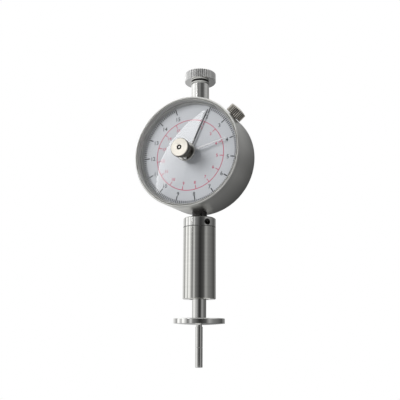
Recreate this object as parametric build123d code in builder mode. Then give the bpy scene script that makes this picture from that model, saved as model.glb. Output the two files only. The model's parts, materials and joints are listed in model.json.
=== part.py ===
from build123d import *
import os
from math import acos, cos, pi, radians, sin, sqrt, tan

# Dial fruit hardness tester, millimetres.
# The plunger slides along Z, the dial faces -Y, and the origin is where the
# plunger's axis passes the centre of the round case.

# Fits and edges
seat_gap = 0.05
run_gap = 0.05
body_gap = 0.3
edge_break = 0.35
cut_over = 1.0

# Round case
case_radius = 27.1
case_wall = 1.5
rim_wall = 0.9
rim_break = 0.2
rim_y = -17.6
back_y = 5.1
web_front_y = -5.8
web_thickness = 1.5
cover_thickness = 1.5
cover_seat = 0.7
boss_inset = 3.8
boss_radius = 2.4
boss_count = 4
screw_radius = 0.8
screw_head_radius = 1.7
screw_length = 6.0

# Bezel, lens and dial, which turn together
bezel_gap = 0.1
bezel_wall = 0.6
bezel_recess = 0.15
bezel_break = 0.25
dial_face_y = -12.4
dial_thickness = 0.5
dial_hole = 2.4
spacer_height = 2.3
spacer_width = 0.8
retainer_height = 0.8
retainer_width = 1.5
lens_thickness = 1.0
lens_crown = 0.7
lens_ring_height = 0.5
lens_ring_width = 0.45
groove_width = 3.2
groove_depth = 0.25

# Rack and pinion
pinion_module = 0.25
pinion_teeth = 12
pressure_angle = 25.0
addendum_factor = 0.85
dedendum_factor = 1.25
flank_play = 0.05
scale_sweep = 315.0
pinion_width = 3.2
rack_width = 2.4
rack_back = 1.1
rack_spare_teeth = 2
rack_lap = 7.0
guide_rod_radius = 2.0
guide_rod_length = 19.3
guide_block = 2.0
rack_screw_radius = 0.5
rack_screw_head = 0.9
rack_screw_pitch = 3.0

# Movement bridge and arbor
arbor_radius = 0.6
bridge_y = 2.0
bridge_thickness = 1.0
bridge_length = 24.0
bridge_width = 7.0
pillar_offset = 9.0
pillar_radius = 1.6
bridge_screw_radius = 0.7
bridge_screw_head = 1.4
bridge_screw_head_height = 0.5
bridge_screw_length = 4.0
bush_radius = 1.8
bush_flange_radius = 3.0
bush_flange = 0.8
bush_nose = 5.0

# Pointers
driving_angle = 26.0
driving_tip_clear = 1.7
driving_tail = 3.8
driving_root_width = 1.0
driving_tip_width = 0.45
driving_lift = 0.95
pointer_thickness = 0.3
driving_hub_radius = 1.5
driving_hub_height = 1.1
follower_angle = 75.5
follower_tip_clear = 4.7
follower_tail = 4.5
follower_root_width = 1.0
follower_tip_width = 0.4
follower_hub_radius = 1.8
follower_hub_height = 0.5
follower_thickness = 0.25
push_tab_radius = 8.0
push_tab_length = 1.2

# Reset knob on the lens
reset_radius = 4.53
reset_face_y = -24.2
reset_disc = 2.6
reset_hub_radius = 3.6
reset_shaft_radius = 1.0
reset_pin_radius = 0.55
reset_pin_sink = 0.1
reset_recess_radius = 1.2
reset_recess = 1.2
reset_flutes = 40
reset_flute_side = 0.36
grub_radius = 0.75
grub_stand = 0.9
grub_round = 0.5
grub_rise = 1.3
grub_angle = 170.0
lens_bush_wall = 0.75
lens_bush_flange = 2.9
lens_bush_height = 0.9
lens_bush_chamfer = 0.3

# Upper guide neck and knurled cap
neck_radius = 4.57
neck_show = 13.26
shank_radius = 3.3
shank_length = 3.5
neck_spigot_radius = 3.4
neck_spigot_length = 3.3
washer_radius = 4.85
washer_thickness = 0.6
neck_relief = 0.5
neck_relief_depth = 0.45
seal_radius = 4.35
seal_height = 0.5
cap_radius = 7.99
cap_height = 4.84
cap_chamfer = 0.6
cap_low_chamfer = 0.3
cap_flutes = 50
cap_flute_side = 0.44

# Lower stem, collar and barrel
stem_radius = 3.75
stem_show = 2.5
stem_insert = 6.4
stem_groove = 0.5
stem_groove_depth = 0.3
collar_height = 4.74
collar_spigot = 3.66
seam_groove = 0.4
seam_groove_depth = 0.35
set_screw_radius = 1.5
set_screw_angle = 52.0
set_screw_drop = 2.6
set_screw_sink = 1.6
barrel_radius = 7.93
barrel_wall = 1.53
barrel_length = 34.17
barrel_floor = 3.5
barrel_chamfer = 0.3
guide_bush_wall = 1.15
guide_bush_flange = 0.8
guide_bush_flange_height = 0.6
guide_bush_recess = 0.9

# Plunger, spring, splash disc and indenter
rod_radius = 3.4
rod_upper_radius = 2.5
stop_margin = 0.6
disc_margin = 0.57
rod_spigot_radius = 2.0
spring_seat_radius = 5.6
spring_seat_height = 2.0
spring_radius = 4.7
wire_radius = 0.5
spring_turns = 8
disc_radius = 12.18
disc_thickness = 3.07
disc_dome = 0.65
disc_round = 0.45
indenter_radius = 1.75
indenter_length = 19.29
indenter_neck_radius = 1.45
indenter_neck = 0.8
indenter_shank_radius = 1.0
indenter_shank_length = 6.0
mark_height = 9.02
mark_width = 0.3
mark_depth = 0.1
tip_break = 0.15

# Dial clamp screw on the side of the case
clamp_angle = 49.2
clamp_y = -8.0
clamp_bush_radius = 2.1
clamp_bush_stand = 0.2
clamp_shank_radius = 1.5
clamp_head_radius = 4.4
clamp_head_lift = 0.3
clamp_band = 3.9
clamp_dome = 0.7
clamp_chamfer = 0.2
clamp_flutes = 32
clamp_flute_side = 0.5
shoe_length = 0.9
shoe_gap = 0.1

# Places that follow from the sizes above
cover_inner_y = back_y - cover_thickness
rear_bore = case_radius - case_wall
front_bore = case_radius - rim_wall
cover_seat_radius = rear_bore + cover_seat
boss_circle = rear_bore - boss_inset
web_rear_y = web_front_y + web_thickness

bezel_radius = front_bore - bezel_gap
bezel_bore = bezel_radius - bezel_wall
bezel_front_y = rim_y + bezel_recess
bezel_rear_y = web_front_y - body_gap
spacer_front_y = dial_face_y - spacer_height
dial_back_y = dial_face_y + dial_thickness
lens_edge_radius = bezel_bore - seat_gap
lens_edge_y = spacer_front_y - lens_thickness
lens_inner_y = spacer_front_y - lens_crown
lens_top_y = lens_edge_y - lens_crown

pitch_radius = pinion_module * pinion_teeth / 2
tooth_pitch = pi * pinion_module
addendum = addendum_factor * pinion_module
dedendum = dedendum_factor * pinion_module
stroke = pitch_radius * radians(scale_sweep)
rack_root_x = -(pitch_radius + dedendum)
rack_back_x = rack_root_x - rack_back

driving_tip = bezel_bore - spacer_width - driving_tip_clear
follower_tip = bezel_bore - spacer_width - follower_tip_clear
driving_blade_y = dial_face_y - driving_lift
driving_hub_front_y = driving_blade_y - pointer_thickness - body_gap
follower_hub_back_y = driving_hub_front_y - body_gap
follower_hub_front_y = follower_hub_back_y - follower_hub_height
follower_blade_y = follower_hub_back_y - follower_thickness

neck_seat_z = sqrt(case_radius**2 - neck_radius**2)
stem_seat_z = -sqrt(case_radius**2 - stem_radius**2)
neck_top_z = case_radius + neck_show
neck_inner_z = neck_seat_z - shank_length
stem_inner_z = stem_seat_z + shank_length
neck_bore = guide_rod_radius + run_gap
stem_bore = rod_upper_radius + run_gap
cap_seat_z = neck_top_z + washer_thickness
cap_head_z = cap_seat_z + seal_height
cap_top_z = cap_head_z + cap_height

collar_top_z = -(case_radius + stem_show)
seam_z = collar_top_z - collar_height
stem_end_z = collar_top_z - stem_insert
spring_top_z = seam_z - collar_spigot
barrel_bore = barrel_radius - barrel_wall
barrel_bottom_z = seam_z - barrel_length
barrel_floor_z = barrel_bottom_z + barrel_floor
guide_bore = rod_radius + run_gap
guide_bush_radius = guide_bore + guide_bush_wall
guide_top_z = barrel_floor_z + guide_bush_flange_height
seat_bottom_z = guide_top_z + body_gap
spring_bottom_z = seat_bottom_z + spring_seat_height

disc_top_z = barrel_bottom_z - stroke - disc_margin
disc_bottom_z = disc_top_z - disc_thickness
tip_z = disc_bottom_z - indenter_length
mark_z = tip_z + mark_height
rod_shoulder_z = stem_end_z - stroke - stop_margin
block_top_z = neck_inner_z - stroke - stop_margin
rack_teeth_top_z = rack_spare_teeth * tooth_pitch
rack_teeth_count = int(stroke / tooth_pitch) + 2 * rack_spare_teeth + 1
rack_teeth_low_z = rack_teeth_top_z - (rack_teeth_count - 0.5) * tooth_pitch
bridge_low_z = -(bridge_width / 2 + body_gap)
rod_top_z = min(rack_teeth_low_z - tooth_pitch, bridge_low_z - stroke)
rack_bottom_z = rod_top_z - rack_lap

clamp_out = Vector(sin(radians(clamp_angle)), 0, cos(radians(clamp_angle)))
clamp_plane = Plane(origin=(0, clamp_y, 0), x_dir=(0, 1, 0), z_dir=clamp_out)
clamp_side = Plane(origin=(0, clamp_y, 0), x_dir=(0, 1, 0), z_dir=Vector(0, 1, 0).cross(clamp_out))
clamp_head_r = case_radius + clamp_head_lift
clamp_band_r = clamp_head_r + clamp_band
clamp_top_r = clamp_band_r + clamp_dome
groove_floor = bezel_radius - groove_depth
shoe_inner_r = groove_floor + shoe_gap
shoe_outer_r = shoe_inner_r + shoe_length

os.makedirs("parts", exist_ok=True)


# Drop of a dome below its top, at a distance from its axis
def dome_drop(radius, rise, at):
    sphere = (radius**2 + rise**2) / (2 * rise)
    return sphere - sqrt(sphere**2 - at**2)


# Half of a tooth's angle, in radians, at a given radius of the involute
def half_tooth_angle(radius):
    base_radius = pitch_radius * cos(radians(pressure_angle))
    pitch_half = (tooth_pitch / 4 - flank_play / 2) / pitch_radius
    pitch_involute = tan(radians(pressure_angle)) - radians(pressure_angle)
    angle = acos(min(1.0, base_radius / radius))
    return pitch_half + pitch_involute - (tan(angle) - angle)


# Point of a tooth's flank, on the side given by +1 or -1
def flank_point(radius, side):
    angle = side * half_tooth_angle(radius)
    return (radius * cos(angle), radius * sin(angle))


# Plane of a pointer, whose local X runs along the blade
def pointer_plane(angle, y):
    along = (sin(radians(angle)), 0, cos(radians(angle)))
    return Plane(origin=(0, y, 0), x_dir=along, z_dir=(0, -1, 0))


# Case: one turned cup with a web that carries the movement
with BuildPart() as case:
    with BuildSketch(Plane.XY):
        with BuildLine():
            Polyline(
                (case_radius - edge_break, rim_y),
                (case_radius, rim_y + edge_break),
                (case_radius, back_y - edge_break),
                (case_radius - edge_break, back_y),
                (cover_seat_radius, back_y),
                (cover_seat_radius, cover_inner_y),
                (rear_bore, cover_inner_y),
                (rear_bore, web_rear_y),
                (bush_radius + seat_gap, web_rear_y),
                (bush_radius + seat_gap, web_front_y),
                (front_bore, web_front_y),
                (front_bore, rim_y + rim_break),
                (front_bore + rim_break, rim_y),
                close=True,
            )
        make_face()
    revolve(axis=Axis.Y)
    with BuildSketch(Plane.XZ.offset(-cover_inner_y)):
        with PolarLocations(boss_circle, boss_count, start_angle=45):
            Circle(boss_radius)
    extrude(amount=cover_inner_y - web_rear_y)
    with BuildSketch(Plane.XZ.offset(-cover_inner_y)):
        with PolarLocations(boss_circle, boss_count, start_angle=45):
            Circle(screw_radius + seat_gap)
    extrude(amount=screw_length, mode=Mode.SUBTRACT)
    with BuildSketch(Plane.XY.offset(neck_seat_z)):
        Circle(neck_radius)
    extrude(amount=case_radius - neck_seat_z + cut_over, mode=Mode.SUBTRACT)
    with BuildSketch(Plane.XY.offset(neck_inner_z)):
        Circle(shank_radius)
    extrude(amount=shank_length + cut_over, mode=Mode.SUBTRACT)
    with BuildSketch(Plane.XY.offset(stem_seat_z)):
        Circle(stem_radius)
    extrude(amount=-(case_radius + stem_seat_z + cut_over), mode=Mode.SUBTRACT)
    with BuildSketch(Plane.XY.offset(stem_inner_z)):
        Circle(shank_radius)
    extrude(amount=-(shank_length + cut_over), mode=Mode.SUBTRACT)
    with BuildSketch(clamp_plane.offset(front_bore - cut_over)):
        Circle(clamp_bush_radius)
    extrude(amount=rim_wall + 2 * cut_over, mode=Mode.SUBTRACT)
case.part.label = "case"
export_step(case.part, "parts/case.step")

# Back cover: flat disc in the rear rebate, held by countersunk screws
with BuildPart() as back_cover:
    with BuildSketch(Plane.XZ.offset(-cover_inner_y)):
        Circle(cover_seat_radius - seat_gap)
    extrude(amount=-cover_thickness)
    chamfer(back_cover.edges().group_by(Axis.Y)[-1], edge_break)
    with Locations(Plane(origin=(0, back_y, 0), x_dir=(1, 0, 0), z_dir=(0, 1, 0))):
        with PolarLocations(boss_circle, boss_count, start_angle=45):
            CounterSinkHole(screw_radius + seat_gap, screw_head_radius + seat_gap)
back_cover.part.label = "back_cover"
export_step(back_cover.part, "parts/back_cover.step")

# Back screws: countersunk, slotted, one in each boss
head_depth = screw_head_radius - screw_radius
for index in range(boss_count):
    turn = radians(45 + index * 360 / boss_count)
    screw_x = boss_circle * cos(turn)
    screw_z = boss_circle * sin(turn)
    with BuildPart() as back_screw:
        with BuildSketch(Plane.XY):
            with BuildLine():
                Polyline(
                    (0, back_y),
                    (screw_head_radius, back_y),
                    (screw_radius, back_y - head_depth),
                    (screw_radius, back_y - screw_length),
                    (0, back_y - screw_length),
                    close=True,
                )
            make_face()
        revolve(axis=Axis.Y)
        with BuildSketch(Plane.XZ.offset(-back_y)):
            Rectangle(2 * screw_head_radius, screw_radius / 2)
        extrude(amount=head_depth / 2, mode=Mode.SUBTRACT)
    placed = back_screw.part.moved(Location((screw_x, 0, screw_z)))
    placed.label = f"back_screw_{index + 1}"
    export_step(placed, f"parts/back_screw_{index + 1}.step")

# Upper guide neck: shank through the case wall, polished tube, spigot for the cap
with BuildPart() as neck_bush:
    with BuildSketch(Plane.XZ):
        with BuildLine():
            Polyline(
                (neck_bore, neck_inner_z),
                (shank_radius - seat_gap, neck_inner_z),
                (shank_radius - seat_gap, neck_seat_z),
                (neck_radius, neck_seat_z),
                (neck_radius, neck_top_z - neck_relief),
                (neck_radius - neck_relief_depth, neck_top_z - neck_relief),
                (neck_radius - neck_relief_depth, neck_top_z),
                (neck_spigot_radius, neck_top_z),
                (neck_spigot_radius, neck_top_z + neck_spigot_length),
                (neck_bore, neck_top_z + neck_spigot_length),
                close=True,
            )
        make_face()
    revolve(axis=Axis.Z)
neck_bush.part.label = "neck_bush"
export_step(neck_bush.part, "parts/neck_bush.step")

# Washer between the neck and the cap
with BuildPart() as neck_washer:
    with BuildSketch(Plane.XY.offset(neck_top_z)):
        Circle(washer_radius)
        Circle(neck_spigot_radius + seat_gap, mode=Mode.SUBTRACT)
    extrude(amount=washer_thickness)
    fillet(neck_washer.edges().filter_by(GeomType.CIRCLE).sort_by(SortBy.RADIUS)[-2:], washer_thickness / 3)
neck_washer.part.label = "neck_washer"
export_step(neck_washer.part, "parts/neck_washer.step")

# Cap seal: dark ring between the washer and the cap
with BuildPart() as cap_seal:
    with BuildSketch(Plane.XY.offset(cap_seat_z)):
        Circle(seal_radius)
        Circle(neck_spigot_radius + seat_gap, mode=Mode.SUBTRACT)
    extrude(amount=seal_height)
cap_seal.part.label = "cap_seal"
export_step(cap_seal.part, "parts/cap_seal.step")

# Knurled cap: fluted head cut to a chamfered outline, with a blind bore
with BuildPart() as top_cap:
    with BuildSketch(Plane.XY.offset(cap_head_z)):
        Circle(cap_radius)
        with PolarLocations(cap_radius, cap_flutes):
            Rectangle(cap_flute_side, cap_flute_side, rotation=45, mode=Mode.SUBTRACT)
    extrude(amount=cap_height)
    with BuildSketch(Plane.XZ):
        with BuildLine():
            Polyline(
                (0, cap_head_z),
                (cap_radius - cap_low_chamfer, cap_head_z),
                (cap_radius, cap_head_z + cap_low_chamfer),
                (cap_radius, cap_top_z - cap_chamfer),
                (cap_radius - cap_chamfer, cap_top_z),
                (0, cap_top_z),
                close=True,
            )
        make_face()
    revolve(axis=Axis.Z, mode=Mode.INTERSECT)
    with BuildSketch(Plane.XY.offset(cap_head_z)):
        Circle(neck_spigot_radius + seat_gap)
    extrude(amount=neck_spigot_length - seal_height, mode=Mode.SUBTRACT)
top_cap.part.label = "top_cap"
export_step(top_cap.part, "parts/top_cap.step")

# Lower stem: shank through the case wall and a blackened tube into the collar
with BuildPart() as stem_bush:
    with BuildSketch(Plane.XZ):
        with BuildLine():
            Polyline(
                (stem_bore, stem_inner_z),
                (shank_radius - seat_gap, stem_inner_z),
                (shank_radius - seat_gap, stem_seat_z),
                (stem_radius, stem_seat_z),
                (stem_radius, stem_end_z),
                (stem_bore, stem_end_z),
                close=True,
            )
        make_face()
    revolve(axis=Axis.Z)
    for step in (1, 3):
        with BuildSketch(Plane.XY.offset(collar_top_z + step * stem_groove)):
            Circle(stem_radius + cut_over)
            Circle(stem_radius - stem_groove_depth, mode=Mode.SUBTRACT)
        extrude(amount=stem_groove, mode=Mode.SUBTRACT)
stem_bush.part.label = "stem_bush"
export_step(stem_bush.part, "parts/stem_bush.step")

# Direction and plane of the collar's set screw
set_screw_z = collar_top_z - set_screw_drop
set_screw_out = (sin(radians(set_screw_angle)), -cos(radians(set_screw_angle)), 0)
set_screw_plane = Plane(origin=(0, 0, set_screw_z), x_dir=(0, 0, 1), z_dir=set_screw_out)

# Collar: clamps on the stem and carries the barrel on its spigot
with BuildPart() as barrel_collar:
    with BuildSketch(Plane.XZ):
        with BuildLine():
            Polyline(
                (stem_radius + seat_gap, collar_top_z),
                (barrel_radius - edge_break, collar_top_z),
                (barrel_radius, collar_top_z - edge_break),
                (barrel_radius, seam_z + seam_groove),
                (barrel_radius - seam_groove_depth, seam_z + seam_groove),
                (barrel_radius - seam_groove_depth, seam_z),
                (barrel_bore - seat_gap, seam_z),
                (barrel_bore - seat_gap, spring_top_z),
                (stem_radius + seat_gap, spring_top_z),
                close=True,
            )
        make_face()
    revolve(axis=Axis.Z)
    with BuildSketch(set_screw_plane):
        Circle(set_screw_radius + seat_gap)
    extrude(amount=barrel_radius + cut_over, mode=Mode.SUBTRACT)
barrel_collar.part.label = "barrel_collar"
export_step(barrel_collar.part, "parts/barrel_collar.step")

# Collar set screw: socket screw sunk below the collar's surface
set_screw_start = stem_radius + seat_gap
set_screw_length = barrel_radius - set_screw_sink - set_screw_start
with BuildPart() as collar_set_screw:
    with BuildSketch(set_screw_plane.offset(set_screw_start)):
        Circle(set_screw_radius)
    extrude(amount=set_screw_length)
    with BuildSketch(set_screw_plane.offset(set_screw_start + set_screw_length)):
        RegularPolygon(set_screw_radius * 0.6, 6)
    extrude(amount=-set_screw_length / 2, mode=Mode.SUBTRACT)
collar_set_screw.part.label = "collar_set_screw"
export_step(collar_set_screw.part, "parts/collar_set_screw.step")

# Barrel: spring housing with a floor for the guide bush
with BuildPart() as barrel:
    with BuildSketch(Plane.XZ):
        with BuildLine():
            Polyline(
                (barrel_bore, seam_z),
                (barrel_radius, seam_z),
                (barrel_radius, barrel_bottom_z + barrel_chamfer),
                (barrel_radius - barrel_chamfer, barrel_bottom_z),
                (guide_bush_radius + seat_gap, barrel_bottom_z),
                (guide_bush_radius + seat_gap, barrel_floor_z),
                (barrel_bore, barrel_floor_z),
                close=True,
            )
        make_face()
    revolve(axis=Axis.Z)
barrel.part.label = "barrel"
export_step(barrel.part, "parts/barrel.step")

# Guide bush: flanged sleeve in the barrel's floor that the rod slides in
with BuildPart() as guide_bush:
    with BuildSketch(Plane.XZ):
        with BuildLine():
            Polyline(
                (guide_bore, barrel_bottom_z + guide_bush_recess),
                (guide_bush_radius, barrel_bottom_z + guide_bush_recess),
                (guide_bush_radius, barrel_floor_z),
                (guide_bush_radius + guide_bush_flange, barrel_floor_z),
                (guide_bush_radius + guide_bush_flange, guide_top_z),
                (guide_bore, guide_top_z),
                close=True,
            )
        make_face()
    revolve(axis=Axis.Z)
guide_bush.part.label = "guide_bush"
export_step(guide_bush.part, "parts/guide_bush.step")

# Movement bridge: rear bearing plate of the arbor, on two pillars
with BuildPart() as movement_bridge:
    with BuildSketch(Plane.XZ.offset(-bridge_y)):
        SlotOverall(bridge_length, bridge_width)
        Circle(arbor_radius + run_gap, mode=Mode.SUBTRACT)
        with Locations((-pillar_offset, 0), (pillar_offset, 0)):
            Circle(bridge_screw_radius + seat_gap, mode=Mode.SUBTRACT)
    extrude(amount=-bridge_thickness)
movement_bridge.part.label = "movement_bridge"
export_step(movement_bridge.part, "parts/movement_bridge.step")

# Bridge pillars and their screws
bridge_rear_y = bridge_y + bridge_thickness
for index, side in enumerate((-1, 1)):
    with BuildPart() as bridge_pillar:
        with BuildSketch(Plane.XZ.offset(-bridge_y)):
            with Locations((side * pillar_offset, 0)):
                Circle(pillar_radius)
        extrude(amount=bridge_y - web_rear_y)
        with BuildSketch(Plane.XZ.offset(-bridge_y)):
            with Locations((side * pillar_offset, 0)):
                Circle(bridge_screw_radius + seat_gap)
        extrude(amount=bridge_screw_length, mode=Mode.SUBTRACT)
    bridge_pillar.part.label = f"bridge_pillar_{index + 1}"
    export_step(bridge_pillar.part, f"parts/bridge_pillar_{index + 1}.step")
    with BuildPart() as bridge_screw:
        with BuildSketch(Plane.XZ.offset(-bridge_rear_y)):
            with Locations((side * pillar_offset, 0)):
                Circle(bridge_screw_head)
        extrude(amount=-bridge_screw_head_height)
        with BuildSketch(Plane.XZ.offset(-bridge_rear_y)):
            with Locations((side * pillar_offset, 0)):
                Circle(bridge_screw_radius)
        extrude(amount=bridge_screw_length)
    bridge_screw.part.label = f"bridge_screw_{index + 1}"
    export_step(bridge_screw.part, f"parts/bridge_screw_{index + 1}.step")

# Arbor bush: long front bearing of the arbor, flanged on the web
bush_front_y = web_front_y - bush_nose
with BuildPart() as arbor_bush:
    with BuildSketch(Plane.XY):
        with BuildLine():
            Polyline(
                (arbor_radius + run_gap, bush_front_y),
                (bush_radius, bush_front_y),
                (bush_radius, web_front_y - bush_flange),
                (bush_flange_radius, web_front_y - bush_flange),
                (bush_flange_radius, web_front_y),
                (bush_radius, web_front_y),
                (bush_radius, web_rear_y),
                (arbor_radius + run_gap, web_rear_y),
                close=True,
            )
        make_face()
    revolve(axis=Axis.Y)
arbor_bush.part.label = "arbor_bush"
export_step(arbor_bush.part, "parts/arbor_bush.step")

# Clamp bush: threaded bush in the case wall for the dial clamp screw
with BuildPart() as clamp_bush:
    with BuildSketch(clamp_plane.offset(front_bore + seat_gap)):
        Circle(clamp_bush_radius - seat_gap)
        Circle(clamp_shank_radius + run_gap, mode=Mode.SUBTRACT)
    extrude(amount=rim_wall + clamp_bush_stand)
clamp_bush.part.label = "clamp_bush"
export_step(clamp_bush.part, "parts/clamp_bush.step")

# Bezel ring: thin turning ring inside the rim, with the spacer ledge and the clamp groove
with BuildPart() as bezel_ring:
    with BuildSketch(Plane.XY):
        with BuildLine():
            Polyline(
                (bezel_bore, bezel_front_y),
                (bezel_radius - bezel_break, bezel_front_y),
                (bezel_radius, bezel_front_y + bezel_break),
                (bezel_radius, clamp_y - groove_width / 2),
                (groove_floor, clamp_y - groove_width / 2),
                (groove_floor, clamp_y + groove_width / 2),
                (bezel_radius, clamp_y + groove_width / 2),
                (bezel_radius, bezel_rear_y),
                (bezel_bore, bezel_rear_y),
                (bezel_bore, dial_face_y),
                (bezel_bore - spacer_width, dial_face_y),
                (bezel_bore - spacer_width, spacer_front_y),
                (bezel_bore, spacer_front_y),
                close=True,
            )
        make_face()
    revolve(axis=Axis.Y)
bezel_ring.part.label = "bezel_ring"
export_step(bezel_ring.part, "parts/bezel_ring.step")

# Lens: shallow dome of even thickness on the ledge, with a hole for the bush
lens_hole = reset_shaft_radius + run_gap + lens_bush_wall
lens_half = lens_edge_radius / 2
lens_half_drop = dome_drop(lens_edge_radius, lens_crown, lens_half)
with BuildPart() as lens:
    with BuildSketch(Plane.XY):
        with BuildLine():
            ThreePointArc(
                (0, lens_inner_y),
                (lens_half, lens_inner_y + lens_half_drop),
                (lens_edge_radius, spacer_front_y),
            )
            Line((lens_edge_radius, spacer_front_y), (lens_edge_radius, lens_edge_y))
            ThreePointArc(
                (lens_edge_radius, lens_edge_y),
                (lens_half, lens_top_y + lens_half_drop),
                (0, lens_top_y),
            )
            Line((0, lens_top_y), (0, lens_inner_y))
        make_face()
    revolve(axis=Axis.Y)
    with BuildSketch(Plane.XZ):
        Circle(lens_hole)
    extrude(amount=-rim_y, mode=Mode.SUBTRACT)
lens.part.label = "lens"
export_step(lens.part, "parts/lens.step")

# Lens ring: spring ring that keeps the lens on its ledge
with BuildPart() as lens_ring:
    with BuildSketch(Plane.XZ.offset(seat_gap - lens_edge_y)):
        Circle(bezel_bore - seat_gap)
        Circle(bezel_bore - lens_ring_width, mode=Mode.SUBTRACT)
    extrude(amount=lens_ring_height)
lens_ring.part.label = "lens_ring"
export_step(lens_ring.part, "parts/lens_ring.step")

# Lens bush: flanged bearing of the reset shaft at the lens's centre
with BuildPart() as lens_bush:
    with BuildSketch(Plane.XY):
        with BuildLine():
            Polyline(
                (reset_shaft_radius + run_gap, lens_top_y - lens_bush_height),
                (lens_hole + lens_bush_flange - lens_bush_chamfer, lens_top_y - lens_bush_height),
                (lens_hole + lens_bush_flange, lens_top_y - lens_bush_height + lens_bush_chamfer),
                (lens_hole + lens_bush_flange, lens_top_y),
                (lens_hole - seat_gap, lens_top_y),
                (lens_hole - seat_gap, lens_inner_y),
                (reset_shaft_radius + run_gap, lens_inner_y),
                close=True,
            )
        make_face()
    revolve(axis=Axis.Y)
lens_bush.part.label = "lens_bush"
export_step(lens_bush.part, "parts/lens_bush.step")

# Dial: printed disc behind the ledge
with BuildPart() as dial:
    with BuildSketch(Plane.XZ.offset(-dial_face_y)):
        Circle(bezel_bore - seat_gap)
        Circle(dial_hole, mode=Mode.SUBTRACT)
    extrude(amount=-dial_thickness)
dial.part.label = "dial"
export_step(dial.part, "parts/dial.step")

# Dial retainer: ring that presses the dial on the ledge
with BuildPart() as dial_retainer:
    with BuildSketch(Plane.XZ.offset(-dial_back_y)):
        Circle(bezel_bore - seat_gap)
        Circle(bezel_bore - retainer_width, mode=Mode.SUBTRACT)
    extrude(amount=-retainer_height)
dial_retainer.part.label = "dial_retainer"
export_step(dial_retainer.part, "parts/dial_retainer.step")

# Pinion arbor: involute teeth on the shaft that carries the driving pointer
root_radius = pitch_radius - dedendum
base_radius = pitch_radius * cos(radians(pressure_angle))
outer_radius = pitch_radius + addendum
middle_radius = (base_radius + outer_radius) / 2
base_half = half_tooth_angle(base_radius)
inner_low = (root_radius * cos(base_half) - seat_gap, -root_radius * sin(base_half))
inner_high = (inner_low[0], -inner_low[1])
with BuildSketch(Plane.XY) as pinion_tooth:
    with BuildLine():
        Line(inner_low, flank_point(base_radius, -1))
        ThreePointArc(
            flank_point(base_radius, -1),
            flank_point(middle_radius, -1),
            flank_point(outer_radius, -1),
        )
        ThreePointArc(
            flank_point(outer_radius, -1),
            (outer_radius, 0),
            flank_point(outer_radius, 1),
        )
        ThreePointArc(
            flank_point(outer_radius, 1),
            flank_point(middle_radius, 1),
            flank_point(base_radius, 1),
        )
        Line(flank_point(base_radius, 1), inner_high)
        Line(inner_high, inner_low)
    make_face()
with BuildPart() as pinion_arbor:
    with BuildSketch(Plane.XZ.offset(-pinion_width / 2)):
        Circle(root_radius)
        with PolarLocations(0, pinion_teeth, start_angle=180 / pinion_teeth):
            add(pinion_tooth.sketch)
    extrude(amount=pinion_width)
    with BuildSketch(Plane.XZ.offset(-bridge_rear_y)):
        Circle(arbor_radius)
    extrude(amount=bridge_rear_y - driving_hub_front_y)
pinion_arbor.part.label = "pinion_arbor"
export_step(pinion_arbor.part, "parts/pinion_arbor.step")

# Driving pointer: tapered blade with a short tail on a pressed hub
with BuildPart() as driving_pointer:
    with BuildSketch(pointer_plane(driving_angle, driving_blade_y)):
        with BuildLine():
            Polyline(
                (-driving_tail, -driving_root_width / 2),
                (0, -driving_root_width / 2),
                (driving_tip, -driving_tip_width / 2),
                (driving_tip, driving_tip_width / 2),
                (0, driving_root_width / 2),
                (-driving_tail, driving_root_width / 2),
                close=True,
            )
        make_face()
    extrude(amount=pointer_thickness)
    with BuildSketch(Plane.XZ.offset(-driving_hub_front_y)):
        Circle(driving_hub_radius)
    extrude(amount=-driving_hub_height)
    with BuildSketch(Plane.XZ.offset(-driving_hub_front_y)):
        Circle(arbor_radius + seat_gap)
    extrude(amount=-driving_hub_height, mode=Mode.SUBTRACT)
driving_pointer.part.label = "driving_pointer"
export_step(driving_pointer.part, "parts/driving_pointer.step")

# Follower pointer: thin blade that stays at the highest reading, with its push tab
with BuildPart() as follower_pointer:
    with BuildSketch(pointer_plane(follower_angle, follower_blade_y)):
        with BuildLine():
            Polyline(
                (-follower_tail, -follower_root_width / 2),
                (0, -follower_root_width / 2),
                (follower_tip, -follower_tip_width / 2),
                (follower_tip, follower_tip_width / 2),
                (0, follower_root_width / 2),
                (-follower_tail, follower_root_width / 2),
                close=True,
            )
        make_face()
    extrude(amount=follower_thickness)
    with BuildSketch(pointer_plane(follower_angle, follower_blade_y)):
        with Locations((push_tab_radius, 0)):
            Rectangle(push_tab_length, follower_tip_width)
    extrude(amount=-(driving_blade_y - pointer_thickness - body_gap - follower_blade_y) + seat_gap)
    with BuildSketch(Plane.XZ.offset(-follower_hub_back_y)):
        Circle(follower_hub_radius)
    extrude(amount=follower_hub_height)
    with BuildSketch(Plane.XZ.offset(-follower_hub_back_y)):
        Circle(reset_shaft_radius + seat_gap)
    extrude(amount=follower_hub_height, mode=Mode.SUBTRACT)
follower_pointer.part.label = "follower_pointer"
export_step(follower_pointer.part, "parts/follower_pointer.step")

# Reset shaft: runs through the lens bush from the follower to a thin end in the knob's face
with BuildPart() as reset_shaft:
    with BuildSketch(Plane.XZ.offset(-follower_hub_back_y)):
        Circle(reset_shaft_radius)
    extrude(amount=follower_hub_back_y - reset_face_y - reset_recess)
    with BuildSketch(Plane.XZ.offset(-follower_hub_back_y)):
        Circle(reset_pin_radius)
    extrude(amount=follower_hub_back_y - reset_face_y - reset_pin_sink)
reset_shaft.part.label = "reset_shaft"
export_step(reset_shaft.part, "parts/reset_shaft.step")

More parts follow.
